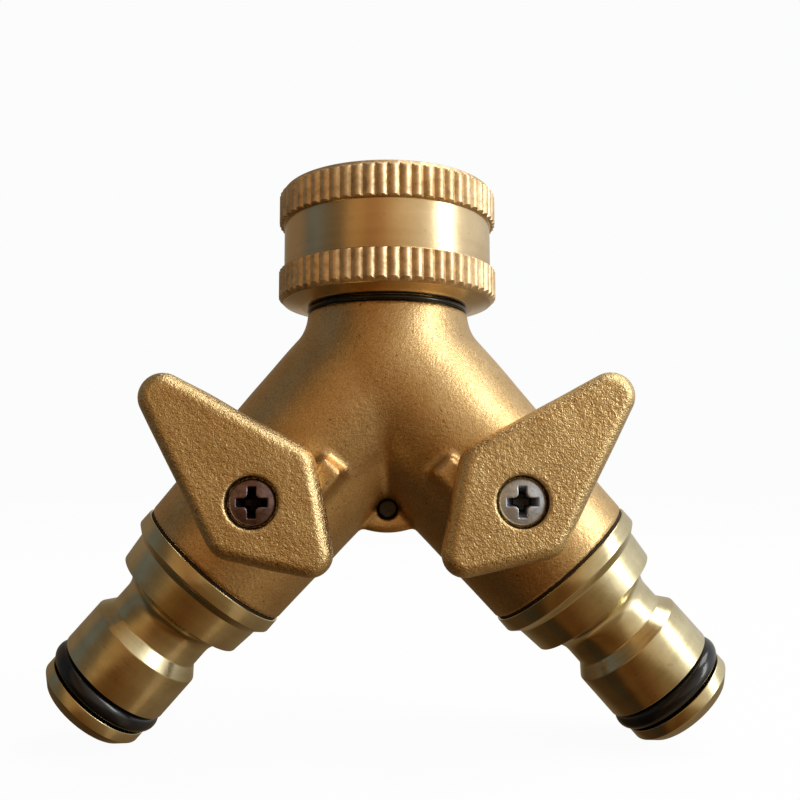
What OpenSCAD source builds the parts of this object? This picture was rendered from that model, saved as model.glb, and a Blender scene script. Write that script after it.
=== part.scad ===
// Two-way brass hose splitter with a swivel inlet nut and two quarter-turn ball valves.
// Row frame: origin at the centre of the nut's mouth, +Z up out of the mouth, handles on the -Y side.

/* [Body] */
// Angle between each leg and the straight-down direction
leg_angle = 41.5; // [40.5:0.5:43]
// Distance from the nut's mouth down to the point where the three axes meet
junction_drop = 27; // [26.8:0.1:28]
// Radius of the neck under the nut
neck_r = 12; // [11.9:0.1:12.4]
// Height of the neck's top face above the junction
neck_top = 8.4; // [8.2:0.1:8.5]
// Leg radius at the junction
leg_r_in = 13.3; // [13.2:0.1:13.6]
// Leg radius at its machined end
leg_r_out = 12.1; // [12:0.1:12.4]
// Length of a leg from the junction to its machined end
leg_len = 38; // [37.4:0.1:38.5]
// Thickness of the web that joins the legs at the crotch
web_t = 5.2; // [5.2:0.1:6]
// Height of the web's lower edge below the junction
web_drop = 24.1; // [23.5:0.1:24.6]
// Depth of the web's blind hole below the junction
web_hole_drop = 20.7; // [20.5:0.1:21]
// Radius of the web's blind hole
web_hole_r = 1.5; // [1.2:0.1:1.7]

/* [Inlet] */
// Outer radius of the nut's two knurled bands
nut_r = 16.4; // [16.2:0.1:17]
// Radius of the smooth band between them
nut_waist_r = 15.6; // [15.4:0.1:15.9]
// Height of the nut's underside above the junction
nut_base = 9.3; // [9.25:0.05:9.4]
// Number of teeth in each knurled band
knurl_teeth = 60; // [40:2:72]
// Wall radius of the nut's 3/4 inch pipe thread, taken at the thread's outer diameter
thread_r = 13.25; // [13.1:0.05:13.4]
// Radius of the nut's unthreaded chamber
chamber_r = 12.15; // [12.05:0.05:12.3]
// Radius of the hole in the nut's inner lip
lip_r = 10.5; // [10.45:0.05:10.7]
// Radius of the water way through the tailpiece
inlet_bore_r = 7.6; // [7:0.1:8]

/* [Valves] */
// Distance from the junction to each valve stem along the leg
stem_at = 26; // [25.8:0.1:26.2]
// Radius of the ball
ball_r = 7.5; // [7.4:0.05:7.55]
// Radius of the hole through the ball
ball_bore_r = 4.6; // [4:0.1:4.7]
// Radius of the ball chamber in the leg
valve_r = 8.6; // [8.5:0.05:8.8]
// Radius of the stem's shaft
stem_r = 3; // [2.9:0.05:3.05]
// Side of the stem's square end
square_w = 4.2; // [4:0.1:4.2]

/* [Handles] */
// Height of a handle's top face above the leg axis
handle_top = 20; // [19.8:0.1:20.5]
// Thickness of a handle's plate
handle_t = 4.1; // [3.8:0.1:4.2]
// How much wider the handle plate is all round at its base
handle_flare = 0.35; // [0:0.05:0.4]
// Distance from the stem to the centre of the long tip's round end
long_tip = 18; // [16.5:0.1:18.5]
// Distance from the stem to the centre of the short tip's round end
short_tip = 9.9; // [9.5:0.1:10.4]
// Radius of the screw's recess in a handle
recess_r = 3.4; // [3.3:0.05:3.6]

/* [Outlets] */
// Radius of the collar that a hose connector slides over
collar_r = 8.75; // [8.6:0.05:8.9]
// Radius of the locking groove behind the collar
lock_r = 7.4; // [7.2:0.1:7.6]
// Radius of the water way through a nipple
outlet_bore_r = 4.8; // [4.2:0.1:5]
// Cross-section diameter of an outlet's sealing ring
oring_d = 2.7; // [2.5:0.1:2.8]

/* [Hidden] */
SIDES = ["left", "right"];
$fn = 96;

// Overshoot that keeps cutting tools clear of the faces they cut
cut = 0.5;
// Gap between a turning piece and the fixed piece it bears on
play = 0.1;

// Inlet, heights above the junction
nut_top = junction_drop;
lip_top = 12.5;
flange_z = lip_top + play;
flange_t = 2;
flange_r = chamber_r - 0.35;
washer_z = flange_z + flange_t;
washer_t = 2.5;
washer_bore_r = 8.2;
thread_z = washer_z + washer_t + 0.2;
band_t = 4.7;
band_base = 10;
nut_face_r = 12.9;
rim_chamfer = 0.6;
tooth_depth = 0.55;
neck_thread_r = 9.8;
neck_thread_z = 1.2;
neck_ring_d = nut_base - neck_top - play;
neck_ring_r = neck_r + 0.1 - neck_ring_d / 2;

// Neck's cone, which runs a little below the junction
neck_root_r = 12.9;
neck_root_z = -3;
leg_start = 1.5;

// Valve, distances along the leg and towards the handle
seat_reach = 7.1;
seat_depth = 2.5;
seat_r = valve_r - 0.1;
seat_bore_r = 5;
passage_r = 5.2;
passage_drop = 6;
stem_hole_r = stem_r + 0.08;
pocket_r = 4.5;
pocket_y = 9.4;
boss_r = 6.5;
boss_y = 13.7;
tang_w = 2.4;
tang_l = 6.4;
tang_y = 5.65;
collar_y = 7.7;
collar_t = 1.1;
stem_collar_r = 4.2;
stem_washer_t = pocket_y - collar_y - collar_t - play;
stem_ring_y = 11.2;
stem_ring_d = 0.84;
groove_r = stem_r - 0.8;
square_y = 13.9;
stem_top = 16.9;
screw_r = 1.45;
screw_end = 12.8;

// Handle, heights above the leg axis
plate_y = handle_top - handle_t;
hub_r = 4.7;
hub_y = 14;
screw_seat = 18;
screw_head_r = recess_r - 0.35;
screw_head_t = 1.1;
screw_dome = 0.5;
edge = 0.9;
base_edge = 0.4;
// Corners of the handle's outline seen from the front, with the outlet to the right:
// distance along the leg, distance across it away from the crotch, and corner radius
handle_corners = [
    [-2.3, long_tip, 3],
    [-6.4, -0.7, 3.2],
    [0.1, -short_tip, 2.8],
    [4.3, -0.6, 3.7]
];

// Stop lug on the leg and the two stops under the handle, in the same directions
lug_far = -10.8;
lug_near = -5;
lug_low = -6.4;
lug_high = -2;
lug_y = 15.4;
lug_root = 9;
stop_w = 2.1;
stop_l = 3.4;

// Blind end of the web's hole, behind the middle plane
web_hole_end = 1.2;

// Nipple, distances along the leg from its flange's face
gasket_t = 0.3;
nipple_at = leg_len + gasket_t;
shank_r = 10.15;
socket_r = 10.2;
socket_at = stem_at + seat_reach;
shank_len = nipple_at - socket_at;
flange_out_r = 12.2;
flange_edge = 0.3;
flange_end = 2.1;
barrel_at = 3.2;
barrel_r = 10.9;
barrel_end = 7.3;
barrel_end_r = 10.4;
throat = barrel_end_r - lock_r;
lock_end = 12.9;
collar_at = 14.6;
collar_end = 21.3;
ring_groove_w = 3.1;
ring_gland_r = collar_r + 0.2 - oring_d;
tip_at = collar_end + ring_groove_w;
tip_r = collar_r - 0.4;
tip_chamfer = 1.4;
nipple_len = 27.4;

// Points of an arc of radius r about [x, y] from angle a to angle b
function arc(x, y, r, a, b, steps = 8) =
    [for (i = [0:steps]) let (t = a + (b - a) * i / steps) [x + r * cos(t), y + r * sin(t)]];

// Outline of one knurled band, with flat-topped teeth
function knurl_outline() = [
    for (i = [0:knurl_teeth - 1])
        let (pitch = 360 / knurl_teeth, a = i * pitch, low = nut_r - tooth_depth)
        for (p = [[low, 0], [low, 0.3], [nut_r, 0.42], [nut_r, 0.88]])
            [p[0] * cos(a + p[1] * pitch), p[0] * sin(a + p[1] * pitch)]
];

// Places its children in the junction's frame
module at_junction() {
    translate([0, 0, -junction_drop]) children();
}

// Mirrors its children to the named side; they are drawn for the right leg
module on_side(side) {
    if (side == "left") mirror([1, 0, 0]) children();
    else children();
}

// Leg frame: Z runs out along the leg's axis from the junction
module on_leg(side) {
    at_junction() on_side(side) rotate([0, 180 - leg_angle, 0]) children();
}

// Stem frame: origin on the leg's axis, Z towards the handle, X out along the leg, Y away from the crotch
module on_stem(side) {
    at_junction() on_side(side)
        rotate([0, 90 - leg_angle, 0]) translate([stem_at, 0, 0]) rotate([90, 0, 0]) children();
}

// Ring of round or plain section about Z
module tube(outer, inner, height) {
    difference() {
        cylinder(r = outer, h = height);
        translate([0, 0, -cut]) cylinder(r = inner, h = height + 2 * cut);
    }
}

module round_ring(mean_r, section_d) {
    rotate_extrude() translate([mean_r, 0]) circle(d = section_d, $fn = 32);
}

module leg_solid(side) {
    slope = (leg_r_in - leg_r_out) / leg_len;
    on_leg(side) translate([0, 0, leg_start])
        cylinder(r1 = leg_r_in - slope * leg_start, r2 = leg_r_out, h = leg_len - leg_start);
    on_stem(side) cylinder(r = boss_r, h = boss_y);
    on_stem(side) translate([lug_far, lug_low, lug_root])
        cube([lug_near - lug_far, lug_high - lug_low, lug_y - lug_root]);
}

module leg_bores(side) {
    on_leg(side) {
        cylinder(r = passage_r, h = stem_at);
        translate([0, 0, stem_at - seat_reach]) cylinder(r = valve_r, h = 2 * seat_reach + cut);
        translate([0, 0, socket_at]) cylinder(r = socket_r, h = leg_len - socket_at + cut);
    }
    on_stem(side) {
        cylinder(r = pocket_r, h = pocket_y);
        cylinder(r = stem_hole_r, h = boss_y + cut);
    }
}

module valve_body() {
    color("goldenrod") difference() {
        union() {
            at_junction() translate([0, 0, neck_root_z])
                cylinder(r1 = neck_root_r, r2 = neck_r, h = neck_top - neck_root_z);
            for (side = SIDES) leg_solid(side);
            at_junction() translate([-7, -web_t / 2, -web_drop]) cube([14, web_t, 12]);
        }
        at_junction() {
            translate([0, 0, neck_thread_z]) cylinder(r = neck_thread_r, h = neck_top - neck_thread_z + cut);
            translate([0, 0, -passage_drop]) cylinder(r = inlet_bore_r, h = neck_top + passage_drop);
            translate([0, web_hole_end, -web_hole_drop]) rotate([90, 0, 0])
                cylinder(r = web_hole_r, h = web_hole_end + 2 * web_t);
        }
        for (side = SIDES) leg_bores(side);
    }
}

module swivel_tailpiece() {
    sleeve_r = lip_r - 0.3;
    color("gold") at_junction() rotate_extrude() polygon([
        [inlet_bore_r, neck_thread_z + 0.2],
        [neck_thread_r - 0.05, neck_thread_z + 0.2],
        [neck_thread_r - 0.05, neck_top],
        [sleeve_r, neck_top],
        [sleeve_r, flange_z],
        [flange_r, flange_z],
        [flange_r, washer_z],
        [inlet_bore_r, washer_z]
    ]);
}

module knurled_band(z) {
    translate([0, 0, z]) linear_extrude(band_t) polygon(knurl_outline());
}

module inlet_nut() {
    color("darkgoldenrod") at_junction() difference() {
        union() {
            translate([0, 0, nut_base]) cylinder(r1 = nut_face_r, r2 = nut_waist_r, h = band_base - nut_base);
            translate([0, 0, band_base]) cylinder(r = nut_waist_r, h = nut_top - band_base);
            knurled_band(band_base);
            knurled_band(nut_top - rim_chamfer - band_t);
        }
        rotate_extrude() polygon([
            [0, nut_base - cut],
            [lip_r, nut_base - cut],
            [lip_r, lip_top],
            [chamber_r, lip_top],
            [chamber_r, thread_z],
            [thread_r, thread_z],
            [thread_r, nut_top + cut],
            [0, nut_top + cut]
        ]);
    }
}

module inlet_washer() {
    color("black") at_junction() translate([0, 0, washer_z])
        tube(flange_r, washer_bore_r, washer_t);
}

module neck_oring() {
    color("black") at_junction() translate([0, 0, neck_top + neck_ring_d / 2])
        round_ring(neck_ring_r, neck_ring_d);
}

module ball(side) {
    color("silver") on_stem(side) difference() {
        sphere(r = ball_r);
        rotate([90, 0, 0]) cylinder(r = ball_bore_r, h = 2 * ball_r + cut, center = true);
        translate([-ball_r, -tang_w / 2 - 0.05, tang_y - 0.05]) cube([2 * ball_r, tang_w + 0.1, ball_r]);
    }
}

// A seat ring; way is -1 on the inlet side of the ball and 1 on its outlet side
module seat(side, way) {
    near = seat_reach - seat_depth;
    color("white") on_leg(side) translate([0, 0, stem_at]) difference() {
        translate([0, 0, way > 0 ? near : -seat_reach]) tube(seat_r, seat_bore_r, seat_depth);
        sphere(r = ball_r + play);
    }
}

module stem(side) {
    color("darkgoldenrod") on_stem(side) difference() {
        union() {
            translate([-tang_l / 2, -tang_w / 2, tang_y]) cube([tang_l, tang_w, collar_y - tang_y]);
            translate([0, 0, collar_y]) cylinder(r = stem_collar_r, h = collar_t);
            translate([0, 0, collar_y]) cylinder(r = stem_r, h = square_y - collar_y);
            translate([-square_w / 2, -square_w / 2, square_y])
                cube([square_w, square_w, stem_top - square_y]);
        }
        translate([0, 0, stem_ring_y - stem_ring_d / 2]) tube(stem_r + cut, groove_r, stem_ring_d);
        translate([0, 0, screw_end - cut]) cylinder(r = screw_r, h = stem_top);
    }
}

module stem_oring(side) {
    color("black") on_stem(side) translate([0, 0, stem_ring_y])
        round_ring(groove_r + stem_ring_d / 2, stem_ring_d);
}

module thrust_washer(side) {
    color("white") on_stem(side) translate([0, 0, collar_y + collar_t])
        tube(stem_collar_r, stem_r, stem_washer_t);
}

module handle_plate() {
    hull() for (c = handle_corners) translate([c[0], c[1], plate_y]) {
        cylinder(r = c[2] + handle_flare - base_edge, h = handle_t / 2, $fn = 32);
        translate([0, 0, base_edge])
            cylinder(r1 = c[2] + handle_flare, r2 = c[2], h = handle_t - edge - base_edge, $fn = 32);
        translate([0, 0, handle_t - edge]) cylinder(r1 = c[2], r2 = c[2] - edge, h = edge, $fn = 32);
    }
}

// The two stops under the handle: one rests on the lug's upper side when shut,
// the other meets the lug's inner end a quarter turn later
module handle_stops() {
    translate([lug_near - 0.6 - stop_l, lug_high + play, hub_y])
        cube([stop_l, stop_w, plate_y - hub_y + edge]);
    rotate(90) translate([lug_near + play, lug_low + 0.2, hub_y])
        cube([stop_w, stop_w, plate_y - hub_y + edge]);
}

module handle(side) {
    color("peru") on_stem(side) difference() {
        union() {
            handle_plate();
            translate([0, 0, hub_y]) cylinder(r = hub_r, h = plate_y - hub_y + edge);
            handle_stops();
        }
        translate([-square_w / 2, -square_w / 2, hub_y - cut])
            cube([square_w, square_w, stem_top + 0.1 - hub_y + cut]);
        translate([0, 0, hub_y]) cylinder(r = screw_r + 0.15, h = handle_t + cut);
        translate([0, 0, screw_seat]) cylinder(r = recess_r, h = handle_t);
    }
}

module handle_screw(side) {
    arm_l = 4.1;
    arm_w = 1;
    color(side == "left" ? "indigo" : "silver") on_stem(side) difference() {
        union() {
            translate([0, 0, screw_end]) cylinder(r = screw_r, h = screw_seat - screw_end);
            translate([0, 0, screw_seat]) rotate_extrude() polygon([
                [0, 0],
                [screw_head_r, 0],
                [screw_head_r, screw_head_t],
                [screw_head_r * 0.75, screw_head_t + screw_dome * 0.6],
                [screw_head_r * 0.4, screw_head_t + screw_dome * 0.9],
                [0, screw_head_t + screw_dome]
            ]);
        }
        for (turn = [0, 90]) rotate(turn - leg_angle)
            translate([-arm_l / 2, -arm_w / 2, screw_seat + 0.3]) cube([arm_l, arm_w, 2]);
    }
}

module nipple(side) {
    color("khaki") on_leg(side) translate([0, 0, nipple_at]) rotate_extrude() polygon(concat(
        [
            [outlet_bore_r, -shank_len],
            [shank_r, -shank_len],
            [shank_r, 0],
            [flange_out_r - flange_edge, 0],
            [flange_out_r, flange_edge],
            [flange_out_r, flange_end],
            [barrel_r, barrel_at]
        ],
        arc(barrel_end_r, barrel_end + throat, throat, 270, 180),
        [
            [lock_r, lock_end],
            [collar_r, collar_at],
            [collar_r, collar_end],
            [ring_gland_r, collar_end],
            [ring_gland_r, tip_at],
            [tip_r, tip_at],
            [tip_r, nipple_len - tip_chamfer],
            [tip_r - tip_chamfer, nipple_len],
            [outlet_bore_r, nipple_len]
        ]
    ));
}

module nipple_gasket(side) {
    color("dimgray") on_leg(side) translate([0, 0, leg_len])
        tube(flange_out_r - 0.3, socket_r, gasket_t);
}

module outlet_oring(side) {
    color("black") on_leg(side) translate([0, 0, nipple_at + collar_end + ring_groove_w / 2])
        round_ring(ring_gland_r + oring_d / 2, oring_d);
}

valve_body();
swivel_tailpiece();
inlet_nut();
inlet_washer();
neck_oring();
for (side = SIDES) {
    ball(side);
    seat(side, -1);
    seat(side, 1);
    stem(side);
    stem_oring(side);
    thrust_washer(side);
    handle(side);
    handle_screw(side);
    nipple(side);
    nipple_gasket(side);
    outlet_oring(side);
}
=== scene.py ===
import math

import bpy
import numpy as np
from mathutils import Matrix, Vector


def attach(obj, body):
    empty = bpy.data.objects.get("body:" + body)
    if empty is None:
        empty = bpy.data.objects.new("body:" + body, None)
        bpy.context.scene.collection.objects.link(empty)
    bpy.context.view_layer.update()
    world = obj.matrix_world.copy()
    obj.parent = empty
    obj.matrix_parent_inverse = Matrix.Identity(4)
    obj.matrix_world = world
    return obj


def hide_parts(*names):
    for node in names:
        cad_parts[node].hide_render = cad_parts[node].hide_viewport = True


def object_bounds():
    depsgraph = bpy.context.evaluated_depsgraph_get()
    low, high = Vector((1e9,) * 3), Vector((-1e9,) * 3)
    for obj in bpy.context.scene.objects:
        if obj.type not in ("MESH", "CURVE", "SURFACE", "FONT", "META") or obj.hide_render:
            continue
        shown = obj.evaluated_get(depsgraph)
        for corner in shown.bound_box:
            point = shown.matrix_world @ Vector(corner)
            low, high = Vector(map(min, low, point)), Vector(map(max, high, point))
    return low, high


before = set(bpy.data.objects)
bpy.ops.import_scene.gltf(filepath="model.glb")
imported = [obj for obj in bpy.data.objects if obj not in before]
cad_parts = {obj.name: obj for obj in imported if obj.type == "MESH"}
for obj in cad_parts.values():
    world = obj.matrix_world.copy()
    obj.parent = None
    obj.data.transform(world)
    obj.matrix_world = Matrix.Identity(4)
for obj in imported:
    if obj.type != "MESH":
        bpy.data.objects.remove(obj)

cad_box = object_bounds()

MM = 0.001
LEG_ANGLE = math.radians(41.5)  # between each leg and straight down
# in millimetres: the legs' meeting point below the nut's mouth, then distances out along a leg
JUNCTION_Z = -27.0
STEM_AT = 26.0
NIPPLE_AT = 38.3
SIDES = ("left", "right")

# ---------------------------------------------------------------- frames

JUNCTION = Matrix.Translation((0, 0, JUNCTION_Z * MM))


def leg_frame(side):
    """Z runs out along the leg from the junction."""
    sign = -1 if side == "left" else 1
    return JUNCTION @ Matrix.Rotation(sign * (math.pi - LEG_ANGLE), 4, "Y")


def stem_frame(side):
    """Origin on the leg's axis under the handle, Z towards the handle, X out along the leg.
    Y points away from the crotch on the right side and towards it on the left."""
    if side == "right":
        turn = Matrix.Rotation(math.pi / 2 - LEG_ANGLE, 4, "Y")
        lay = Matrix.Rotation(math.pi / 2, 4, "X")
        return JUNCTION @ turn @ Matrix.Translation((STEM_AT * MM, 0, 0)) @ lay
    right = stem_frame("right")
    mirror = Matrix.Scale(-1, 4, (1, 0, 0))
    return mirror @ right @ Matrix.Scale(-1, 4, (0, 1, 0))


# ---------------------------------------------------------------- meshes


def make_object(name, verts, faces, place=None, smooth_angle=None):
    """A mesh object from points in millimetres in the frame of place.

    The points' own coordinates in that frame are kept as an attribute for the materials."""
    verts = np.asarray(verts, float) * MM
    placed = verts
    if place is not None:
        turn = np.array(place)
        placed = verts @ turn[:3, :3].T + turn[:3, 3]
        if np.linalg.det(turn[:3, :3]) < 0:
            faces = [face[::-1] for face in faces]
    mesh = bpy.data.meshes.new(name)
    mesh.from_pydata(placed.tolist(), [], faces)
    mesh.update()
    own = mesh.attributes.new("own_place", "FLOAT_VECTOR", "POINT")
    own.data.foreach_set("vector", verts.astype(np.float32).ravel())
    mesh.polygons.foreach_set("use_smooth", [True] * len(mesh.polygons))
    if smooth_angle is not None:
        mesh.set_sharp_from_angle(angle=math.radians(smooth_angle))
    piece = bpy.data.objects.new(name, mesh)
    bpy.context.scene.collection.objects.link(piece)
    return piece


def surface_net(sdf, low, high, step, pull=3):
    """Quad mesh of the surface where sdf is zero, with its points pulled onto that surface.

    One point goes into each cell that the surface crosses, at the mean of its edges' crossings."""
    axes = [np.arange(a, b + step, step) for a, b in zip(low, high)]
    grid = np.stack(np.meshgrid(*axes, indexing="ij"), -1)
    values = sdf(grid)
    size = np.array(values.shape)
    cells = size - 1
    total = np.zeros((*cells, 3))
    count = np.zeros(cells, int)
    for axis in range(3):
        for u in (0, 1):
            for v in (0, 1):
                start = np.zeros(3, int)
                others = [k for k in range(3) if k != axis]
                start[others[0]], start[others[1]] = u, v
                stop = start.copy()
                stop[axis] = 1
                a = values[tuple(slice(s, s + c) for s, c in zip(start, cells))]
                b = values[tuple(slice(s, s + c) for s, c in zip(stop, cells))]
                crossed = (a < 0) != (b < 0)
                t = np.where(crossed, a / np.where(crossed, a - b, 1), 0)
                for k in range(3):
                    shift = t if k == axis else start[k]
                    total[..., k] += np.where(crossed, shift, 0)
                count += crossed
    active = count > 0
    index = np.full(cells, -1)
    index[active] = np.arange(active.sum())
    corner = np.stack(np.nonzero(active), -1)
    points = (corner + total[active] / count[active][:, None]) * step + np.array(low)
    faces = []
    for axis in range(3):
        u, v = [(1, 2), (2, 0), (0, 1)][axis]
        first = [slice(None)] * 3
        second = [slice(None)] * 3
        first[axis], second[axis] = slice(0, -1), slice(1, None)
        for k in (u, v):
            first[k] = second[k] = slice(1, -1)
        a, b = values[tuple(first)] < 0, values[tuple(second)] < 0
        for enter, flip in ((a & ~b, False), (~a & b, True)):
            at = np.stack(np.nonzero(enter), -1)
            at[:, u] += 1
            at[:, v] += 1
            ring = []
            for du, dv in ((-1, -1), (0, -1), (0, 0), (-1, 0)):
                q = at.copy()
                q[:, u] += du
                q[:, v] += dv
                ring.append(index[q[:, 0], q[:, 1], q[:, 2]])
            ring = np.stack(ring, -1)
            faces.append(ring[:, ::-1] if flip else ring)
    faces = np.concatenate(faces)
    probe, least_slope, longest_move = 0.02, 0.05, 0.5 * step
    for _ in range(pull):
        here = sdf(points)
        slope = np.stack([
            (sdf(points + probe * e) - sdf(points - probe * e)) / (2 * probe)
            for e in np.eye(3)], -1)
        steep = np.maximum((slope ** 2).sum(-1), least_slope)
        move = -(here / steep)[:, None] * slope
        reach = np.linalg.norm(move, axis=1, keepdims=True)
        points = points + move * np.minimum(1, longest_move / np.maximum(reach, 1e-9))
    return points, faces.tolist()


def lathe(name, outline, place, segments=192, smooth_angle=35):
    """A closed outline of (radius, height) pairs turned about Z."""
    turn = np.linspace(0, 2 * math.pi, segments, endpoint=False)
    n = len(outline)
    verts = [(r * math.cos(t), r * math.sin(t), z) for t in turn for r, z in outline]
    faces = []
    for i in range(segments):
        j = (i + 1) % segments
        for k in range(n):
            m = (k + 1) % n
            faces.append((i * n + k, j * n + k, j * n + m, i * n + m))
    area = sum(outline[k][0] * outline[(k + 1) % n][1] - outline[(k + 1) % n][0] * outline[k][1]
               for k in range(n))
    if area < 0:
        faces = [f[::-1] for f in faces]
    return make_object(name, verts, faces, place, smooth_angle)


def rounded(outline, steps=4):
    """Rounds each corner of a closed outline of (radius, height, corner radius) points."""
    result = []
    n = len(outline)
    for k in range(n):
        before, here, after = (Vector(outline[(k + d) % n][:2]) for d in (-1, 0, 1))
        fillet = outline[k][2] if len(outline[k]) > 2 else 0
        if fillet <= 0:
            result.append((here.x, here.y))
            continue
        back, ahead = (before - here), (after - here)
        half = back.angle(ahead) / 2
        reach = min(fillet / math.tan(half), 0.49 * back.length, 0.49 * ahead.length)
        radius = reach * math.tan(half)
        inward = (back.normalized() + ahead.normalized()).normalized()
        centre = here + inward * (radius / math.sin(half))
        start = here + back.normalized() * reach - centre
        stop = here + ahead.normalized() * reach - centre
        sweep = start.angle_signed(stop)
        for i in range(steps + 1):
            a = -sweep * i / steps
            x = start.x * math.cos(a) - start.y * math.sin(a)
            y = start.x * math.sin(a) + start.y * math.cos(a)
            result.append((centre.x + x, centre.y + y))
    return result


# ---------------------------------------------------------------- distance functions


def soft_min(a, b, k):
    """Union of two shapes with a fillet of about k where they meet."""
    h = np.clip(0.5 + 0.5 * (b - a) / k, 0, 1)
    return b + (a - b) * h - k * h * (1 - h)


def soft_max(a, b, k):
    """Intersection of two shapes with their shared edge rounded by about k."""
    return -soft_min(-a, -b, k)


def box_edge(*parts, radius):
    """Intersection of slabs whose shared edges are rounded to the radius."""
    stack = np.stack(parts, -1) + radius
    outside = np.linalg.norm(np.maximum(stack, 0), axis=-1)
    return outside + np.minimum(stack.max(-1), 0) - radius


def cone(rho, s, r0, r1, s0, s1):
    """Distance to the side of a cone whose radius is r0 at s0 and r1 at s1."""
    slope = (r1 - r0) / (s1 - s0)
    return (rho - (r0 + slope * (s - s0))) / math.hypot(1, slope)


rng = np.random.default_rng(7)


def ripple(count, shortest, longest, size):
    """A smooth, repeatable unevenness of roughly the given size, in millimetres."""
    ways = rng.normal(size=(count, 3))
    ways /= np.linalg.norm(ways, axis=1, keepdims=True)
    waves = 2 * math.pi / rng.uniform(shortest, longest, count)
    phases = rng.uniform(0, 2 * math.pi, count)
    gain = size / math.sqrt(count)

    def value(p):
        total = 0
        for way, wave, phase in zip(ways, waves, phases):
            total = total + np.sin(p @ way * wave + phase)
        return total * gain

    return value


# ---------------------------------------------------------------- valve body
# Millimetres in the junction's frame. s runs out along a leg and h out of the front from its axis.

NECK_R, NECK_TOP, ROOT_R, ROOT_Z = 12.0, 8.4, 12.9, -3.0
NECK_TRIM, NECK_TRIM_Z = 0.16, 3
LEG_IN, LEG_OUT, LEG_LEN = 13.3, 12.1, 38.0
LEG_SLIM, LEG_SLIM_REACH = 0.3, 6
WEB_HALF, WEB_EDGE, WEB_BOW, WEB_SIDE, WEB_TOP = 2.6, -24.1, 0.045, 8, -10
WEB_HOLE_Z, WEB_HOLE_R, WEB_HOLE_END = -20.7, 1.5, 1.2
BOSS_R, BOSS_LOW, BOSS_TOP = 6.5, 5, 13.7
LUG_AT, LUG_HALF, LUG_LOW, LUG_TOP = (-7.9, -4.2), (2.9, 2.2), 7, 15.4
LUG_DRAFT, LUG_DRAFT_FROM = 0.06, 9
LEGS_FILLET, NECK_FILLET, WEB_FILLET, BOSS_FILLET, LUG_FILLET = 1.25, 1.1, 0.8, 2.0, 1.3
LEG_END_ROUND, NECK_END_ROUND, WEB_HOLE_ROUND = 0.45, 0.35, 0.12
TAIL_BORE_R, TAIL_BORE_LOW = 9.8, 1.2
NECK_WAY_R, NECK_WAY_LOW = 7.6, -6
LEG_WAY_R = 5.2
SEAT_BORE_R, SEAT_BORE_IN, SEAT_BORE_OUT = 8.6, 18.9, 34
NIPPLE_BORE_R, NIPPLE_BORE_IN = 10.2, 33.1
STEM_SEAT_R, STEM_SEAT_TOP, STEM_BORE_R = 4.5, 9.4, 3.08
BODY_GRID, BODY_STEP = ((-36, -16.2, -38.5), (36, 14.5, 9.2)), 0.41
body_ripple = ripple(9, 6, 13, 0.035)


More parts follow.
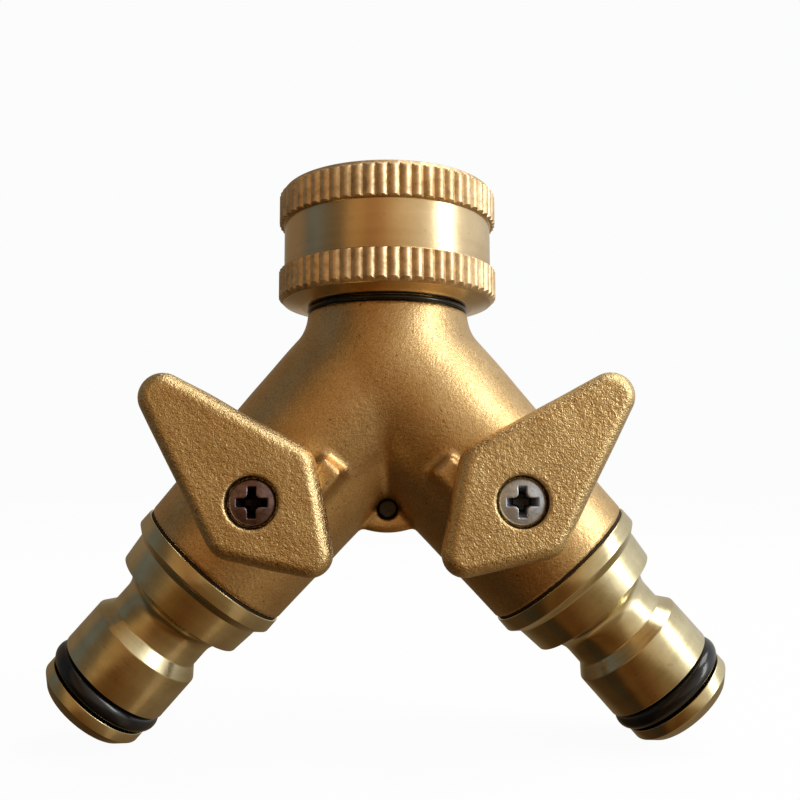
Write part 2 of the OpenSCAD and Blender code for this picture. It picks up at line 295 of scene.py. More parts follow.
def body_sdf(p):
    x, y, z = np.abs(p[..., 0]), p[..., 1], p[..., 2]
    sin, cos = math.sin(LEG_ANGLE), math.cos(LEG_ANGLE)
    neck_rho = np.hypot(x, y)
    neck = (cone(neck_rho, z, ROOT_R, NECK_R, ROOT_Z, NECK_TOP)
            + NECK_TRIM * np.maximum(NECK_TRIM_Z - z, 0))
    neck = box_edge(neck, z - NECK_TOP, ROOT_Z - z, radius=0.25)

    def leg_at(px):
        """Distance out along the leg, across it in the legs' plane, and from its axis."""
        s = px * sin - z * cos
        across = px * cos + z * sin
        return s, across, np.hypot(across, y)

    knee = np.sqrt((p ** 2).sum(-1))

    def leg(s, rho):
        """Tapered leg with a round end at the junction, slimmed where the blend fills it out again."""
        slim = LEG_SLIM * np.exp(-(np.maximum(s, 0) / LEG_SLIM_REACH) ** 2)
        return np.where(s < 0, knee - LEG_IN, cone(rho, s, LEG_IN, LEG_OUT, 0, LEG_LEN)) + slim

    s, across, rho = leg_at(x)
    s_far, _, rho_far = leg_at(-x)
    legs = soft_min(leg(s, rho), leg(s_far, rho_far), LEGS_FILLET)
    shape = soft_min(legs, neck, NECK_FILLET)
    # web between the legs, with a bowed lower edge
    web_low = WEB_EDGE + WEB_BOW * x ** 2
    web = box_edge(np.abs(y) - WEB_HALF, web_low - z, x - WEB_SIDE, z - WEB_TOP, radius=0.9)
    shape = soft_min(shape, web, WEB_FILLET)
    # boss under the handle and its stop lug, in the stem's frame
    a, b, h = s - STEM_AT, across, -y
    stem_rho = np.hypot(a, b)
    boss = box_edge(stem_rho - BOSS_R, h - BOSS_TOP, BOSS_LOW - h, radius=0.3)
    shape = soft_min(shape, boss, BOSS_FILLET)
    draft = LUG_DRAFT * (h - LUG_DRAFT_FROM)
    lug = box_edge(np.abs(a - LUG_AT[0]) - LUG_HALF[0] + draft,
                   np.abs(b - LUG_AT[1]) - LUG_HALF[1] + draft,
                   h - LUG_TOP, LUG_LOW - h, radius=0.9)
    shape = soft_min(shape, lug, LUG_FILLET)
    shape = shape + body_ripple(p)
    shape = soft_max(shape, s - LEG_LEN, LEG_END_ROUND)
    shape = soft_max(shape, z - NECK_TOP, NECK_END_ROUND)
    # the tailpiece's socket, the water ways, the seats' and nipple's sockets, the stem's hole
    bores = [
        np.maximum(neck_rho - TAIL_BORE_R, TAIL_BORE_LOW - z),
        np.maximum(neck_rho - NECK_WAY_R, NECK_WAY_LOW - z),
        np.maximum(np.maximum(rho - LEG_WAY_R, -s), s - STEM_AT),
        np.maximum(np.maximum(rho - SEAT_BORE_R, SEAT_BORE_IN - s), s - SEAT_BORE_OUT),
        np.maximum(rho - NIPPLE_BORE_R, NIPPLE_BORE_IN - s),
        np.maximum(np.maximum(stem_rho - STEM_SEAT_R, h - STEM_SEAT_TOP), -h),
        np.maximum(stem_rho - STEM_BORE_R, -h),
    ]
    for bore in bores:
        shape = np.maximum(shape, -bore)
    hole = box_edge(np.hypot(x, z - WEB_HOLE_Z) - WEB_HOLE_R, y - WEB_HOLE_END, radius=0.1)
    return soft_max(shape, -hole, WEB_HOLE_ROUND)


points, faces = surface_net(body_sdf, *BODY_GRID, BODY_STEP)
body = make_object("body_casting", points, faces, JUNCTION)

# ---------------------------------------------------------------- inlet nut
# Millimetres in the junction's frame, where the nut's mouth is at a height of 27.

TEETH = 60
TOOTH_PHASE = np.array([0.0, 0.05, 0.2, 0.36, 0.5, 0.64, 0.8, 0.95])
TOOTH_RISE = np.array([0.0, 0.12, 0.62, 0.95, 1.0, 0.95, 0.62, 0.12])
TOOTH_R, TOOTH_DEPTH = 16.38, 0.42
WAIST_R, WAIST_LOW, WAIST_TOP = 15.6, 14.92, 21.68
THREAD_PITCH, THREAD_R, THREAD_DEPTH = 1.814, 13.2, 1.0
THREAD_LOW, THREAD_TOP, THREAD_ROW, THREAD_FADE = 17.35, 26.85, 0.13, 1.2
LEAD_R, LEAD_SLOPE, LEAD_END_R = 13.5, 1.15, 13.05


def build_nut():
    turn = ((np.arange(TEETH)[:, None] + TOOTH_PHASE) / TEETH * 2 * math.pi).ravel()
    rise = np.tile(TOOTH_RISE, TEETH)
    rows = []

    def plain(*pairs):
        """Round rows, one for each (radius, height) pair."""
        for r, z in pairs:
            rows.append((np.full(turn.size, float(r)), np.full(turn.size, float(z))))

    def toothed(z, limit):
        r = np.minimum(TOOTH_R - TOOTH_DEPTH + TOOTH_DEPTH * rise, limit)
        rows.append((r, np.full(turn.size, float(z))))

    def band(bottom, top, low_cut, top_cut):
        """Teeth between two heights; a cut is how far an end's chamfer reaches in, and its height."""
        (low_in, low_tall), (top_in, top_tall) = low_cut, top_cut
        shares = [i / 5 for i in range(6)]
        for f in shares:
            toothed(bottom + low_tall * f, TOOTH_R - low_in * (1 - f))
        for f in (0.33, 0.66):
            toothed(bottom + low_tall + (top - top_tall - bottom - low_tall) * f, TOOTH_R)
        for f in shares:
            toothed(top - top_tall * (1 - f), TOOTH_R - top_in * f)

    # up the outside: lower face, knurled band, waist, knurled band, rim
    plain((10.5, 9.45), (10.62, 9.3), (12.85, 9.3), (12.98, 9.34), (15.45, 9.95), (15.6, 10.0))
    band(10.0, 14.75, (0.75, 0.7), (0.35, 0.2))
    plain((WAIST_R + 0.12, 14.8), (WAIST_R, WAIST_LOW))
    for f in np.linspace(0.08, 0.92, 6):
        plain((WAIST_R, WAIST_LOW + (WAIST_TOP - WAIST_LOW) * f))
    plain((WAIST_R, WAIST_TOP), (WAIST_R + 0.12, 21.8))
    band(21.85, 26.55, (0.35, 0.2), (0.5, 0.45))
    plain((15.75, 26.85), (15.6, 26.97), (15.4, 27.0), (13.75, 27.0), (13.6, 26.93))
    # thread from the mouth down to the washer: a clipped triangle wave that fades out at the bottom
    for z in np.arange(THREAD_TOP, THREAD_LOW, -THREAD_ROW):
        phase = (z / THREAD_PITCH + turn / (2 * math.pi)) % 1
        wave = np.clip(2.6 * (np.abs(phase * 2 - 1) - 0.5) / 1.3 + 0.5, 0, 1)
        fade = min(1, (z - THREAD_LOW) / THREAD_FADE)
        crest = THREAD_R - THREAD_DEPTH * wave * fade
        lead = min(LEAD_R - (THREAD_TOP - z) * LEAD_SLOPE, LEAD_END_R)
        rows.append((np.minimum(THREAD_R, np.maximum(crest, lead)), np.full(turn.size, z)))
    # the washer's chamber and the lip that the tailpiece's flange bears on
    plain((13.2, 17.3), (12.15, 17.28), (12.15, 12.6), (12.1, 12.5), (10.6, 12.5), (10.5, 12.4))
    count = turn.size
    verts = np.concatenate([np.stack([r * np.cos(turn), r * np.sin(turn), z], -1) for r, z in rows])
    faces = []
    for k in range(len(rows)):
        m = (k + 1) % len(rows)
        for i in range(count):
            j = (i + 1) % count
            faces.append((k * count + i, k * count + j, m * count + j, m * count + i))
    return make_object("knurled_nut", verts, faces, JUNCTION, 24)


nut = build_nut()

# ---------------------------------------------------------------- handles
# Millimetres in the stem's frame: a out along the leg, b across it, h towards the handle's top.
# The handles' and screws' grids start where no mesh edge comes to be shared by four faces.

HANDLE_TOP, HANDLE_LOW, HANDLE_FLARE = 19.93, 15.9, 0.35
CORNERS = [(-2.3, 18, 3), (-6.4, -0.7, 3.2), (0.1, -9.9, 2.8), (4.3, -0.6, 3.7)]  # a, b, radius
PLATE_EDGE = 0.5
BEVEL_SLOPE, BEVEL_CUT = 0.75, 0.95
HUB_R, HUB_LOW, HUB_TOP, HUB_ROUND = 4.7, 14, 17, 0.25
STOPS = [((-7.3, -0.85), (1.7, 1.05)), ((5.15, -3.85), (1.05, 1.05))]  # centre, half size
SQUARE_HALF, SHAFT_R = 2.1, 1.6
RECESS_R, RECESS_FLOOR = 3.4, 18
HANDLE_GRID, HANDLE_STEP = ((-11.315, -14.07, 13.283), (9.5, 22.5, 20.8)), 0.26

# table of distances to the plate's outline, which is the hull of the corner circles
TABLE_STEP = 0.2
table_a = np.arange(-12, 11, TABLE_STEP)
table_b = np.arange(-15, 23.5, TABLE_STEP)
angles = np.linspace(0, 2 * math.pi, 720, endpoint=False)
ways = np.stack([np.cos(angles), np.sin(angles)], -1)
support = np.max([np.array(c[:2]) @ ways.T + c[2] for c in CORNERS], axis=0)
table_grid = np.stack(np.meshgrid(table_a, table_b, indexing="ij"), -1)
table = (table_grid @ ways.T - support).max(-1)


def plate_outline(a, b):
    """Signed distance to the handle's outline, read from the table above."""
    i = np.clip((a - table_a[0]) / TABLE_STEP, 0, len(table_a) - 1.001)
    j = np.clip((b - table_b[0]) / TABLE_STEP, 0, len(table_b) - 1.001)
    i0, j0 = i.astype(int), j.astype(int)
    u, v = i - i0, j - j0
    return ((1 - u) * (1 - v) * table[i0, j0] + u * (1 - v) * table[i0 + 1, j0]
            + (1 - u) * v * table[i0, j0 + 1] + u * v * table[i0 + 1, j0 + 1])


def handle_mesh(unevenness):
    middle, half = (HANDLE_TOP + HANDLE_LOW) / 2, (HANDLE_TOP - HANDLE_LOW) / 2

    def sdf(p):
        a, b, h = p[..., 0], p[..., 1], p[..., 2]
        rho, slab = np.hypot(a, b), np.abs(h - middle) - half
        outline = plate_outline(a, b) - HANDLE_FLARE * (HANDLE_TOP - h) / (HANDLE_TOP - HANDLE_LOW)
        bevel = (outline + BEVEL_SLOPE * slab + BEVEL_CUT) / math.hypot(1, BEVEL_SLOPE)
        shape = box_edge(outline, slab, bevel, radius=PLATE_EDGE)
        shape = shape + unevenness(p)
        hub = box_edge(rho - HUB_R, HUB_LOW - h, h - HUB_TOP, radius=HUB_ROUND)
        shape = soft_min(shape, hub, 0.8)
        shut, opened = (box_edge(np.abs(a - at[0]) - size[0], np.abs(b - at[1]) - size[1],
                                 HUB_LOW - h, h - HUB_TOP, radius=HUB_ROUND) for at, size in STOPS)
        shape = soft_min(shape, soft_min(shut, opened, 0.3), 0.5)
        socket = np.maximum(np.maximum(np.abs(a) - SQUARE_HALF, np.abs(b) - SQUARE_HALF), h - HUB_TOP)
        recess = np.maximum(rho - RECESS_R, RECESS_FLOOR - h)
        shape = np.maximum(np.maximum(shape, -socket), -(rho - SHAFT_R))
        return soft_max(shape, -recess, 0.35)

    return surface_net(sdf, *HANDLE_GRID, HANDLE_STEP)


handles = {}
for side in SIDES:
    points, faces = handle_mesh(ripple(10, 4, 10, 0.05))
    if side == "left":
        points[:, 1] *= -1
        faces = [f[::-1] for f in faces]
    handles[side] = make_object(f"{side}_lever_casting", points, faces, stem_frame(side))

# ---------------------------------------------------------------- handle screws

HEAD_R, HEAD_LOW, HEAD_TOP, HEAD_DOME = 3.05, 18, 19.6, 0.055
SCREW_R, SCREW_LOW, SCREW_TOP = 1.45, 12.8, 18.3
CROSS_LONG, CROSS_WIDE, CROSS_FLOOR = 2.2, 0.5, 17.5
SCREW_GRID, SCREW_STEP = ((-3.337, -3.329, 12.463), (3.3, 3.3, 20)), 0.1


def screw_sdf(p):
    x, y, h = p[..., 0], p[..., 1], p[..., 2]
    rho = np.hypot(x, y)
    dome = HEAD_TOP - HEAD_DOME * rho ** 2
    head = box_edge(rho - HEAD_R, h - dome, HEAD_LOW - h, radius=0.32)
    shaft = box_edge(rho - SCREW_R, SCREW_LOW - h, h - SCREW_TOP, radius=0.2)
    shape = soft_min(head, shaft, 0.25)
    # the cross narrows with depth and widens a little towards the ends of its arms
    depth = np.clip(HEAD_TOP - h, 0, 3)
    long_half = CROSS_LONG - 0.55 * depth
    wide_half = CROSS_WIDE - 0.06 * depth

    def arm(u, v):
        flare = wide_half + 0.04 * np.abs(u)
        return box_edge(np.abs(u) - long_half, np.abs(v) - flare, CROSS_FLOOR - h, radius=0.12)

    cross = soft_min(arm(x, y), arm(y, x), 0.8)
    return soft_max(shape, -cross, 0.12)


screws = {}
points, faces = surface_net(screw_sdf, *SCREW_GRID, SCREW_STEP)
for side in SIDES:
    upright = LEG_ANGLE if side == "left" else -LEG_ANGLE
    place = stem_frame(side) @ Matrix.Rotation(upright, 4, "Z")
    screws[side] = make_object(f"{side}_cross_head_screw", points, faces, place)

# ---------------------------------------------------------------- turned and moulded rings
# Outlines are (radius, height, corner radius) in millimetres.

COLLAR_R, LOCK_R, BORE_R = 8.75, 7.4, 4.8
RING_D, RING_AT, RING_PROUD = 2.7, 22.85, 0.2
GLAND_R = COLLAR_R + RING_PROUD - RING_D
THROAT_ARC_R, THROAT_ARC_AT = 3.0, (10.4, 10.3)
NECK_RING_D, NECK_RING_R, NECK_RING_AT = 0.8, 12.1, 8.8


def nipple_outline():
    arc = [(THROAT_ARC_AT[0] + THROAT_ARC_R * math.cos(math.radians(t)),
            THROAT_ARC_AT[1] + THROAT_ARC_R * math.sin(math.radians(t)))
           for t in np.linspace(268, 182, 14)]
    return rounded([
        (BORE_R, -5.2, 0.2), (10.15, -5.2, 0.3), (10.15, 0, 0), (12.2, 0, 0.18), (12.2, 2.1, 0.25),
        (10.9, 3.2, 0.3), (10.42, 7.28, 0.12), *arc, (LOCK_R, 12.9, 0.4), (COLLAR_R, 14.6, 0.35),
        (COLLAR_R, 21.3, 0.15), (GLAND_R, 21.3, 0.1), (GLAND_R, 24.4, 0.1), (8.35, 24.4, 0.15),
        (8.35, 26.0, 0.3), (6.95, 27.4, 0.3), (BORE_R, 27.4, 0.3)])


def ring_outline(mean_r, middle, thickness, steps=40):
    """The round section of a ring, as (radius, height) pairs."""
    return [(mean_r + thickness / 2 * math.cos(2 * math.pi * k / steps),
             middle + thickness / 2 * math.sin(2 * math.pi * k / steps)) for k in range(steps)]


nipples, outlet_rings, gaskets = {}, {}, {}
for side in SIDES:
    place = leg_frame(side) @ Matrix.Translation((0, 0, NIPPLE_AT * MM))
    nipples[side] = lathe(f"{side}_turned_nipple", nipple_outline(), place, 256)
    ring = ring_outline(GLAND_R + RING_D / 2, RING_AT, RING_D)
    outlet_rings[side] = lathe(f"{side}_seal_ring", ring, place, 192, 80)
    gaskets[side] = lathe(f"{side}_fibre_gasket", rounded([
        (10.2, -0.3, 0.05), (11.9, -0.3, 0.05), (11.9, 0, 0.05), (10.2, 0, 0.05)]), place)

tailpiece = lathe("turned_tailpiece", rounded([
    (7.6, 1.4, 0.2), (9.75, 1.4, 0.3), (9.75, 8.4, 0), (10.2, 8.4, 0), (10.2, 12.6, 0.1),
    (11.8, 12.6, 0.2), (11.8, 14.6, 0.2), (7.6, 14.6, 0.4)]), JUNCTION)
washer = lathe("moulded_tap_washer", rounded([
    (8.2, 14.6, 0.2), (11.8, 14.6, 0.3), (11.8, 17.1, 0.35), (10.9, 17.1, 0.2), (10.7, 16.9, 0.2),
    (9.3, 16.9, 0.2), (9.1, 17.1, 0.2), (8.2, 17.1, 0.35)]), JUNCTION)
ring = ring_outline(NECK_RING_R - NECK_RING_D / 2, NECK_RING_AT, NECK_RING_D)
neck_ring = lathe("neck_seal_ring", ring, JUNCTION, 192, 80)

# ---------------------------------------------------------------- materials


def add_node(tree, kind, **settings):
    node = tree.nodes.new(kind)
    for key, value in settings.items():
        setattr(node, key, value)
    return node


def add_math(tree, operation, *values):
    """A Math node whose inputs are sockets or plain numbers."""
    node = add_node(tree, "ShaderNodeMath", operation=operation)
    for socket, value in zip(node.inputs, values):
        if isinstance(value, (int, float)):
            socket.default_value = value
        else:
            tree.links.new(value, socket)
    return node.outputs[0]


def add_ramp(tree, source, stops):
    """Colours read off (position, colour) stops; a colour may be one number, for a grey."""
    node = add_node(tree, "ShaderNodeValToRGB")
    ramp = node.color_ramp
    while len(ramp.elements) < len(stops):
        ramp.elements.new(0.5)
    for element, (position, colour) in zip(ramp.elements, stops):
        element.position = position
        if not hasattr(colour, "__len__"):
            colour = (colour,) * 3
        element.color = (*colour, 1)
    tree.links.new(source, node.inputs[0])
    return node.outputs["Color"]


class Shader:
    """A small helper that writes one Principled material.

    Its place is the own_place that make_object stores, or the Object coordinates on a CAD node."""

    def __init__(self, name, own_place=True, **sockets):
        self.material = bpy.data.materials.new(name)
        self.material.use_nodes = True
        self.tree = self.material.node_tree
        self.out = self.tree.nodes["Principled BSDF"]
        for socket, value in sockets.items():
            self.out.inputs[socket.replace("_", " ")].default_value = value
        if own_place:
            self.place = self.add("ShaderNodeAttribute", attribute_name="own_place").outputs["Vector"]
        else:
            self.place = self.add("ShaderNodeTexCoord").outputs["Object"]

    def add(self, kind, **settings):
        return add_node(self.tree, kind, **settings)

    def link(self, a, b):
        self.tree.links.new(a, b)

    def noise(self, scale, detail=2.0, rough=0.5, at=None):
        node = self.add("ShaderNodeTexNoise")
        node.inputs["Scale"].default_value = scale
        node.inputs["Detail"].default_value = detail
        node.inputs["Roughness"].default_value = rough
        self.link(at or self.place, node.inputs["Vector"])
        return node.outputs["Fac"]

    def spots(self, scale):
        node = self.add("ShaderNodeTexVoronoi", feature="SMOOTH_F1")
        node.inputs["Scale"].default_value = scale
        self.link(self.place, node.inputs["Vector"])
        return node.outputs["Distance"]

    def split(self, source):
        node = self.add("ShaderNodeSeparateXYZ")
        self.link(source, node.inputs[0])
        return node.outputs

    def vector(self, operation, source, value=(0, 0, 0)):
        """A Vector Math node on a socket and a fixed vector."""
        node = self.add("ShaderNodeVectorMath", operation=operation)
        self.link(source, node.inputs[0])
        node.inputs[1].default_value = value
        return node.outputs["Value" if operation == "LENGTH" else "Vector"]

    def share(self, length, span):
        """A length as a share of a span, both in metres, for a ramp to read."""
        return add_math(self.tree, "MULTIPLY", length, 1 / span)

    def white(self):
        node = self.add("ShaderNodeRGB")
        node.outputs[0].default_value = (1, 1, 1, 1)
        return node.outputs[0]

    def turned(self, across=60.0):
        """Coordinates squeezed so that noise runs in rings about the piece's own Z."""
        flat = self.vector("MULTIPLY", self.place, (1, 1, 0))
        ring = self.add("ShaderNodeCombineXYZ")
        self.link(self.vector("LENGTH", flat), ring.inputs["X"])
        self.link(self.split(self.place)["Z"], ring.inputs["Z"])
        slow = self.vector("MULTIPLY", flat, (1 / across,) * 3)
        total = self.add("ShaderNodeVectorMath", operation="ADD")
        self.link(ring.outputs[0], total.inputs[0])
        self.link(slow, total.inputs[1])
        return total.outputs[0]

    def ramp(self, source, stops):
        return add_ramp(self.tree, source, stops)

    def blend(self, a, b, factor, kind="MIX"):
        node = self.add("ShaderNodeMix", data_type="RGBA", blend_type=kind)
        if isinstance(factor, (int, float)):
            node.inputs["Factor"].default_value = factor
        else:
            self.link(factor, node.inputs["Factor"])
        self.link(a, node.inputs["A"])
        self.link(b, node.inputs["B"])
        return node.outputs["Result"]

    def bump(self, height, distance, strength=1.0, under=None):
        node = self.add("ShaderNodeBump")
        node.inputs["Strength"].default_value = strength
        node.inputs["Distance"].default_value = distance
        self.link(height, node.inputs["Height"])
        if under is not None:
            self.link(under, node.inputs["Normal"])
        return node.outputs["Normal"]

    def finish(self, colour=None, rough=None, normal=None):
        if colour is not None:
            self.link(colour, self.out.inputs["Base Color"])
        if rough is not None:
            self.link(rough, self.out.inputs["Roughness"])
        if normal is not None:
            self.link(normal, self.out.inputs["Normal"])
        return self.material


def cast_brass(name, dark, light, grain, depth, rough, lumps, painted_shade=None):
    """Sand-cast brass: grain is its grains' size, depth their height and lumps the height of its
    slower unevenness, all in metres."""
    s = Shader(name, Metallic=1.0)
    patches = s.noise(170, 4, 0.65)
    fine = s.noise(1 / grain, 2.0, 0.55)
    pits = s.spots(0.4 / grain)
    tone = s.ramp(patches, [(0.3, dark), (0.72, light)])
    speck = s.ramp(fine, [(0.3, (0.66, 0.60, 0.52)), (0.7, (1.16, 1.14, 1.1))])
    tone = s.blend(tone, speck, 0.8, "MULTIPLY")
    specks = s.ramp(s.noise(1500, 2, 0.7), [(0.27, (0.25, 0.2, 0.15)), (0.33, (1, 1, 1))])
    tone = s.blend(tone, specks, 0.8, "MULTIPLY")
    # a painted shade multiplied into the colour, where one is given
    if painted_shade is not None:
        tone = s.blend(tone, painted_shade(s), 1.0, "MULTIPLY")
    roughness = s.ramp(s.noise(0.5 / grain, 2), [(0.3, rough[0]), (0.7, rough[1])])
    normal = s.bump(s.noise(700, 3, 0.6), lumps, 1.0)
    normal = s.bump(pits, depth * 0.7, 1.0, normal)
    normal = s.bump(fine, depth, 1.0, normal)
    return s.finish(tone, roughness, normal)


def painted_hole_shade(s):
    """Painted shade inside the web's hole, whose axis runs along Y: a dark blue-grey on its wall and
    end, and none behind the hole's end.
    """
    offset = s.vector("SUBTRACT", s.place, (0, 0, WEB_HOLE_Z * MM))
    from_axis = s.vector("LENGTH", s.vector("MULTIPLY", offset, (1, 0, 1)))
    painted_recess_shade = s.ramp(s.share(from_axis, 0.0025), [
        (0.0, (0.12, 0.15, 0.24)), (0.605, (0.14, 0.17, 0.25)), (0.66, (1, 1, 1))])
    behind = s.ramp(s.share(s.split(s.place)["Y"], 0.01), [(0.14, 0.0), (0.17, 1.0)])
    return s.blend(painted_recess_shade, s.white(), behind)


def turned_brass(name, dark, light, rough, groove=1.0, own_place=True, knurl=None):
    """Turned brass; a knurl gives the radius in metres past which the surface is rougher."""
    s = Shader(name, own_place, Metallic=1.0)
    rings = s.turned(90)
    lines = s.noise(2600, 3, 0.7, rings)
    bands = s.noise(420, 2, 0.5, rings)
    stain = s.noise(150, 4, 0.65)
    tone = s.ramp(stain, [(0.3, dark), (0.68, light)])
    tint = s.ramp(bands, [(0.3, (0.9, 0.87, 0.82)), (0.7, (1.04, 1.03, 1.0))])
    tone = s.blend(tone, tint, 1.0, "MULTIPLY")
    roughness = s.ramp(lines, [(0.3, rough[0]), (0.75, rough[1])])
    pits = s.ramp(s.noise(1300, 3, 0.7), [(0.26, (0.45, 0.36, 0.25)), (0.33, (1, 1, 1))])
    tone = s.blend(tone, pits, 0.7, "MULTIPLY")
    if knurl is not None:
        span = 0.02
        radius = s.vector("LENGTH", s.vector("MULTIPLY", s.place, (1, 1, 0)))
        edge = knurl / span
        mask = s.ramp(s.share(radius, span), [(edge, 0.0), (edge + 0.003, 1.0)])
        coarse = s.ramp(s.noise(1600, 3), [(0.3, 0.36), (0.7, 0.58)])
        roughness = s.blend(roughness, coarse, mask)
        wear = s.ramp(s.noise(750, 4, 0.7), [(0.32, (0.72, 0.68, 0.62)), (0.6, (1.15, 1.15, 1.2))])
        tone = s.blend(tone, s.blend(s.white(), wear, mask), 1.0, "MULTIPLY")
    normal = s.bump(lines, 0.000012 * groove, 0.8)
    normal = s.bump(s.noise(900, 3, 0.6), 0.000014, 0.8, normal)
    return s.finish(tone, roughness, normal)


def rubber(name, colour, rough, own_place=True):
    s = Shader(name, own_place)
    s.out.inputs["Specular IOR Level"].default_value = 0.6
    film = s.noise(500, 4, 0.6)
    tone = s.ramp(film, [(0.35, colour), (0.8, tuple(c * 2.2 + 0.004 for c in colour))])
    roughness = s.ramp(s.noise(1400, 3), [(0.3, rough[0]), (0.75, rough[1])])
    return s.finish(tone, roughness, s.bump(s.noise(2200, 3), 0.00001, 0.7))


def screw_metal(name, dark, light, rough, own_place=True, metallic=1.0):
    s = Shader(name, own_place, Metallic=metallic)
    stain = s.noise(900, 4, 0.65)
    tone = s.ramp(stain, [(0.3, dark), (0.7, light)])
    roughness = s.ramp(s.noise(2500, 3), [(0.3, rough[0]), (0.7, rough[1])])
    if own_place:
        # painted shade deep in the cross and down the head's side, darker the lower it lies, by height
        # above the leg's axis
        height = s.share(s.split(s.place)["Z"], 0.02)
        painted_recess_shade = s.ramp(height, [
            (0.885, (0.04, 0.035, 0.03)), (0.935, (0.5, 0.48, 0.45)), (0.955, (1, 1, 1))])
        tone = s.blend(tone, painted_recess_shade, 1.0, "MULTIPLY")
    rings = s.noise(3200, 2, 0.6, s.turned(60))
    normal = s.bump(rings, 0.000012, 0.7)
    normal = s.bump(s.noise(1800, 3), 0.00003, 0.6, normal)
    return s.finish(tone, roughness, normal)


def plastic(name, dark, light):
    s = Shader(name, False, Roughness=0.45)
    tone = s.ramp(s.noise(400, 3), [(0.3, dark), (0.7, light)])
    return s.finish(tone, normal=s.bump(s.noise(1800, 3, 0.6, s.turned(40)), 0.000015, 0.7))


# the body's colour carries a painted shade inside the web's hole
BODY_BRASS = cast_brass("cast_brass_body", (0.70, 0.48, 0.22), (0.84, 0.64, 0.36), 0.00020, 0.00004,
                        (0.32, 0.45), 0.00003, painted_hole_shade)
LEVER_BRASS = cast_brass("cast_brass_lever", (0.80, 0.60, 0.31), (0.94, 0.77, 0.44), 0.00021, 0.00011,
                         (0.26, 0.40), 0.00003)
NUT_BRASS = turned_brass("turned_brass_nut", (0.80, 0.61, 0.36), (0.90, 0.73, 0.47), (0.16, 0.27), 0.4,
                         knurl=0.01568)
NIPPLE_BRASS = turned_brass("turned_brass_nipple", (0.64, 0.56, 0.34), (0.83, 0.76, 0.52),
                            (0.15, 0.27), 0.6)
RUBBER = rubber("black_seal_rubber", (0.002, 0.004, 0.008), (0.12, 0.2))
WASHER_RUBBER = rubber("black_washer_rubber", (0.012, 0.012, 0.012), (0.5, 0.7))
FIBRE = rubber("dark_fibre", (0.012, 0.007, 0.004), (0.7, 0.9))
DARK_SCREW = screw_metal("burnished_screw", (0.14, 0.10, 0.12), (0.34, 0.25, 0.29), (0.22, 0.40))
ZINC_SCREW = screw_metal("zinc_screw", (0.50, 0.58, 0.76), (0.78, 0.88, 1.0), (0.24, 0.42),
                         metallic=0.65)
SEAT_PLASTIC = plastic("seat_fluoroplastic", (0.80, 0.80, 0.77), (0.92, 0.92, 0.90))
BALL_PLATING = screw_metal("plated_ball", (0.70, 0.70, 0.71), (0.80, 0.80, 0.81), (0.06, 0.14),
                           own_place=False)
STEM_BRASS = turned_brass("turned_brass_stem", (0.74, 0.60, 0.33), (0.88, 0.74, 0.46), (0.18, 0.3),
                          groove=0.5, own_place=False)
STEM_RUBBER = rubber("black_stem_rubber", (0.006, 0.008, 0.012), (0.2, 0.35), own_place=False)


def dress(piece, material):
    piece.data.materials.clear()
    piece.data.materials.append(material)


def stand_for(piece, node, body_name, material):
    dress(piece, material)
    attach(piece, body_name)
    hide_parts(node)


stand_for(body, "valve_body", "splitter", BODY_BRASS)
stand_for(nut, "inlet_nut", "nut", NUT_BRASS)
stand_for(tailpiece, "swivel_tailpiece", "splitter", NIPPLE_BRASS)
stand_for(washer, "inlet_washer", "splitter", WASHER_RUBBER)
stand_for(neck_ring, "neck_oring", "splitter", RUBBER)
for side in SIDES:
    valve = f"{side}_valve"
    stand_for(handles[side], f"{side}_handle", valve, LEVER_BRASS)
    metal, slot_name = (DARK_SCREW, "dark_screw") if side == "left" else (ZINC_SCREW, "zinc_screw")
    stand_for(screws[side], f"{side}_handle_screw", valve, metal)
    stand_for(nipples[side], f"{side}_nipple", "splitter", NIPPLE_BRASS)
    stand_for(outlet_rings[side], f"{side}_outlet_oring", "splitter", RUBBER)
    stand_for(gaskets[side], f"{side}_nipple_gasket", "splitter", FIBRE)
    inside = {"ball": BALL_PLATING, "inner_seat": SEAT_PLASTIC, "outer_seat": SEAT_PLASTIC,
              "stem": STEM_BRASS, "stem_oring": STEM_RUBBER, "thrust_washer": SEAT_PLASTIC}
    for part, material in inside.items():
        dress(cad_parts[f"{side}_{part}"], material)

# ---------------------------------------------------------------- camera
# Fitted to the photo.

LENS = 39.735
VIEW = Matrix((
    (0.999891, 0.000590, -0.014758, -0.0000604),
    (-0.014622, -0.101423, -0.994736, -0.1321988),
    (-0.002084, 0.994843, -0.101404, -0.0449104),
    (0, 0, 0, 1)))

camera_data = bpy.data.cameras.new("camera")
camera_data.sensor_width = 36
camera_data.lens = LENS
camera_data.clip_start = 0.001
camera_data.clip_end = 50
camera = bpy.data.objects.new("camera", camera_data)
bpy.context.scene.collection.objects.link(camera)
camera.matrix_world = VIEW
bpy.context.scene.camera = camera

# ---------------------------------------------------------------- studio

CENTRE = (0, 0, -0.04)
BACKDROP = (0.965, 0.975, 0.97, 1)
FLOOR_HALF, FLOOR_GAP = 4000, 0.0004


def area_light(name, at, aim, size, power, colour):
    data = bpy.data.lights.new(name, "AREA")
    data.shape = "RECTANGLE"
    data.size, data.size_y = size
    data.energy = power
    data.color = colour
    lamp = bpy.data.objects.new(name, data)
    bpy.context.scene.collection.objects.link(lamp)
    way = Vector(aim) - Vector(at)
    lamp.matrix_world = Matrix.Translation(at) @ way.to_track_quat("-Z", "Y").to_matrix().to_4x4()


area_light("key", (0.60, -0.27, 0.24), CENTRE, (0.18, 0.50), 1.5, (1.0, 0.98, 0.95))
area_light("top", (0.30, 0.05, 0.75), CENTRE, (0.4, 0.4), 2.0, (1.0, 0.96, 0.9))

world = bpy.data.worlds.new("studio")
bpy.context.scene.world = world
world.use_nodes = True
tree = world.node_tree
background = tree.nodes["Background"]

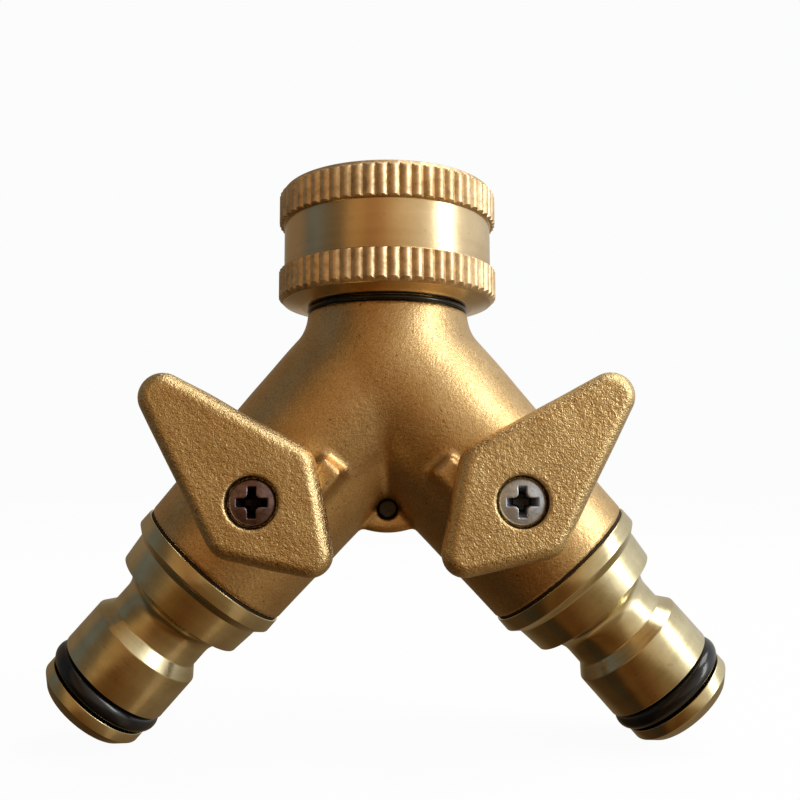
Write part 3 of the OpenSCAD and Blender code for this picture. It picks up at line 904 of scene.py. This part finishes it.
# the room round the object: dark and brown to the left, white to the right, with bearings in
# degrees from straight in front of the object towards its right
ROOM = [
    (-180, (0.46, 0.41, 0.34)), (-150, (0.20, 0.15, 0.10)), (-112, (0.20, 0.145, 0.095)),
    (-94, (0.11, 0.12, 0.12)), (-84, (0.12, 0.13, 0.14)), (-62, (0.12, 0.09, 0.055)),
    (-50, (0.16, 0.11, 0.06)), (-40, (0.37, 0.23, 0.11)), (-30, (0.38, 0.23, 0.095)),
    (-18, (0.30, 0.16, 0.07)), (-8, (0.35, 0.19, 0.085)), (6, (0.48, 0.33, 0.18)),
    (20, (0.57, 0.45, 0.30)), (36, (0.66, 0.57, 0.45)), (48, (0.74, 0.70, 0.61)),
    (52, (1.3, 1.28, 1.23)), (79, (1.3, 1.28, 1.23)), (85, (0.80, 0.79, 0.77)),
    (120, (0.66, 0.65, 0.63)), (180, (0.46, 0.41, 0.34))]
HEIGHT = [
    (0.0, (0.26, 0.17, 0.09)), (0.37, (0.42, 0.35, 0.25)), (0.47, (1, 1, 1)), (0.75, (1.1, 1.1, 1.1)),
    (1.0, (0.8, 0.8, 0.8))]
coords = add_node(tree, "ShaderNodeTexCoord")
axes = add_node(tree, "ShaderNodeSeparateXYZ")
tree.links.new(coords.outputs["Generated"], axes.inputs[0])
ahead = add_math(tree, "MULTIPLY", axes.outputs["Y"], -1)
bearing = add_math(tree, "ARCTAN2", axes.outputs["X"], ahead)
round_about = add_math(tree, "MULTIPLY_ADD", bearing, 1 / (2 * math.pi), 0.5)
up = add_math(tree, "MULTIPLY_ADD", axes.outputs["Z"], 0.5, 0.5)
sky = add_node(tree, "ShaderNodeMix", data_type="RGBA", blend_type="MULTIPLY")
sky.inputs["Factor"].default_value = 1
tree.links.new(add_ramp(tree, round_about, [((a + 180) / 360, colour) for a, colour in ROOM]),
               sky.inputs["A"])
tree.links.new(add_ramp(tree, up, HEIGHT), sky.inputs["B"])
# the camera sees a plain backdrop, and only reflections and shading see the room
seen = add_node(tree, "ShaderNodeLightPath")
swap = add_node(tree, "ShaderNodeMix", data_type="RGBA")
tree.links.new(seen.outputs["Is Camera Ray"], swap.inputs["Factor"])
tree.links.new(sky.outputs["Result"], swap.inputs["A"])
swap.inputs["B"].default_value = BACKDROP
tree.links.new(swap.outputs["Result"], background.inputs["Color"])

corners = [(u * FLOOR_HALF, v * FLOOR_HALF, 0) for u, v in ((-1, -1), (1, -1), (1, 1), (-1, 1))]
floor = make_object("floor", corners, [(0, 1, 2, 3)],
                    Matrix.Translation((0, 0, cad_box[0][2] - FLOOR_GAP)))
paper = bpy.data.materials.new("pale_floor")
paper.use_nodes = True
sheet = paper.node_tree.nodes["Principled BSDF"]
sheet.inputs["Base Color"].default_value = (0.05, 0.05, 0.05, 1)
sheet.inputs["Roughness"].default_value = 1.0
sheet.inputs["Specular IOR Level"].default_value = 0.0
sheet.inputs["Emission Color"].default_value = BACKDROP
sheet.inputs["Emission Strength"].default_value = 0.98
dress(floor, paper)
floor.visible_glossy = False
floor.visible_diffuse = False

bpy.context.scene.view_settings.view_transform = "Standard"
bpy.context.scene.view_settings.look = "None"
